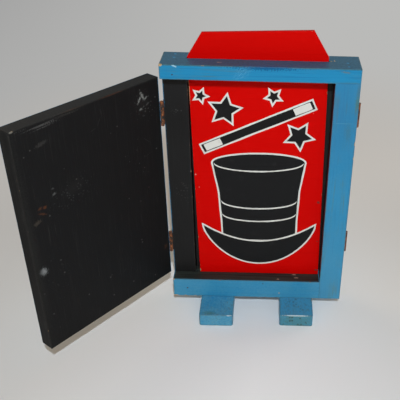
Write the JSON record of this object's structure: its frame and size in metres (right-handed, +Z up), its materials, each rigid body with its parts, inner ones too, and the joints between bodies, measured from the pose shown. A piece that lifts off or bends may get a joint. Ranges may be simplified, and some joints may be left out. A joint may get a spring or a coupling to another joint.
{
  "type": "conjuring picture cabinet",
  "caption": "Flat painted wooden cabinet on bar feet, with hinged front and rear doors and a loose panel that drops in through a slot in its top.",
  "frame": {"origin": "on the floor, midway between the two feet and midway between the front and back of the box", "axes": "+Z up, +X to the right seen from the front, -Y towards the front, where the open door is"},
  "size_m": [0.2499, 0.1484, 0.2563],
  "materials": {
    "blue_paint": "worn satin enamel",
    "black_paint": "worn satin enamel",
    "red_paint": "satin enamel",
    "old_steel": "rusty, with remains of black paint"
  },
  "bodies": {
    "cabinet": {"top_board": "blue_paint", "bottom_board": "black_paint", "left_side": "black_paint", "right_side": "blue_paint", "left_foot": "blue_paint", "right_foot": "blue_paint", "top_nails": "old_steel", "base_nails": "old_steel", "foot_screws": "old_steel", "front_upper_box_leaf": "old_steel", "front_lower_box_leaf": "old_steel", "front_upper_hinge_pin": "old_steel", "front_lower_hinge_pin": "old_steel", "front_box_screws": "old_steel", "rear_upper_box_leaf": "old_steel", "rear_lower_box_leaf": "old_steel", "rear_upper_hinge_pin": "old_steel", "rear_lower_hinge_pin": "old_steel", "rear_box_screws": "old_steel"},
    "front_door": {"front_door": "black_paint", "front_upper_door_leaf": "old_steel", "front_lower_door_leaf": "old_steel", "front_door_screws": "old_steel"},
    "rear_door": {"rear_door": "black_paint", "rear_upper_door_leaf": "old_steel", "rear_lower_door_leaf": "old_steel", "rear_door_screws": "old_steel"},
    "panel": {"picture_panel": "red_paint"}
  },
  "joints": [
    {"name": "front_door_hinge", "type": "hinge", "parent": "cabinet", "child": "front_door", "pos_m": [-0.0781, -0.0024, 0.12625], "axis": [0, 0, -1], "range_deg": [-127.5, 52.5]},
    {"name": "rear_door_hinge", "type": "hinge", "parent": "cabinet", "child": "rear_door", "pos_m": [0.0786, 0.0044, 0.12625], "axis": [0, 0, -1], "range_deg": [0, 180]},
    {"name": "panel_slide", "type": "slide", "parent": "cabinet", "child": "panel", "axis": [-0.0191, 0.0147, 0.9997], "range_m": [0, 0.195]}
  ]
}
